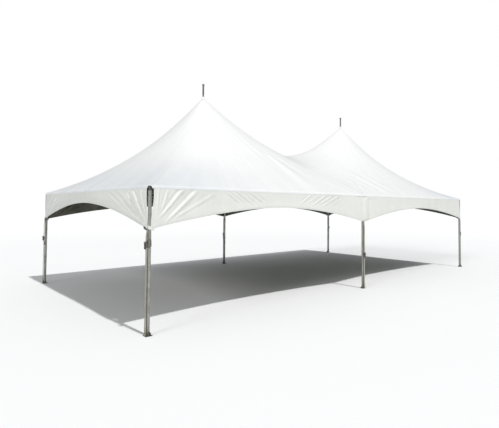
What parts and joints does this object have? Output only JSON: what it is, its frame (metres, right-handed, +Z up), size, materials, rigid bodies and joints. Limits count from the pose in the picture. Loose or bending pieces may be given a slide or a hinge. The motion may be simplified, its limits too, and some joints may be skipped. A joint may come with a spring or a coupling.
{
  "type": "high-peak frame marquee",
  "caption": "Open-sided frame marquee on tube legs, with a white two-peak tensioned roof, arched valances, floating masts on crossed cables and ratchet straps.",
  "frame": {"origin": "on the ground under the middle of the plan", "axes": "+X along the length through both masts, -Y to the front, +Z up"},
  "size_m": [12.3552, 6.2592, 5.47],
  "materials": {
    "roof_vinyl": "satin coated cloth",
    "valance_vinyl": "satin coated cloth",
    "frame_tube": "mill finish, weathered",
    "fitting_metal": "dull dark grey",
    "foot_steel": "dull, soiled",
    "cable_steel": "galvanised wire rope",
    "strap_webbing": "woven polyester"
  },
  "bodies": {
    "root": {"leg_front_left": "frame_tube", "foot_plate_front_left": "foot_steel", "corner_fitting_front_left": "fitting_metal", "leg_strap_front_left": "strap_webbing", "leg_front_middle": "frame_tube", "foot_plate_front_middle": "foot_steel", "tee_fitting_front_middle": "fitting_metal", "leg_strap_front_middle": "strap_webbing", "leg_front_right": "frame_tube", "foot_plate_front_right": "foot_steel", "corner_fitting_front_right": "fitting_metal", "leg_strap_front_right": "strap_webbing", "leg_back_left": "frame_tube", "foot_plate_back_left": "foot_steel", "corner_fitting_back_left": "fitting_metal", "leg_strap_back_left": "strap_webbing", "leg_back_middle": "frame_tube", "foot_plate_back_middle": "foot_steel", "tee_fitting_back_middle": "fitting_metal", "leg_strap_back_middle": "strap_webbing", "leg_back_right": "frame_tube", "foot_plate_back_right": "foot_steel", "corner_fitting_back_right": "fitting_metal", "leg_strap_back_right": "strap_webbing", "eave_rail_front_left": "frame_tube", "eave_rail_front_right": "frame_tube", "eave_rail_back_left": "frame_tube", "eave_rail_back_right": "frame_tube", "eave_rail_left_end": "frame_tube", "eave_rail_right_end": "frame_tube", "crossbar_middle": "frame_tube", "mast_left": "frame_tube", "mast_right": "frame_tube", "cable_left_front_outer": "cable_steel", "cable_left_front_middle": "cable_steel", "cable_left_back_outer": "cable_steel", "cable_left_back_middle": "cable_steel", "cable_right_front_outer": "cable_steel", "cable_right_front_middle": "cable_steel", "cable_right_back_outer": "cable_steel", "cable_right_back_middle": "cable_steel", "canopy": "roof_vinyl", "valance_front_left": "valance_vinyl", "valance_front_right": "valance_vinyl", "valance_back_left": "valance_vinyl", "valance_back_right": "valance_vinyl", "valance_left_end": "valance_vinyl", "valance_right_end": "valance_vinyl"}
  },
  "joints": []
}
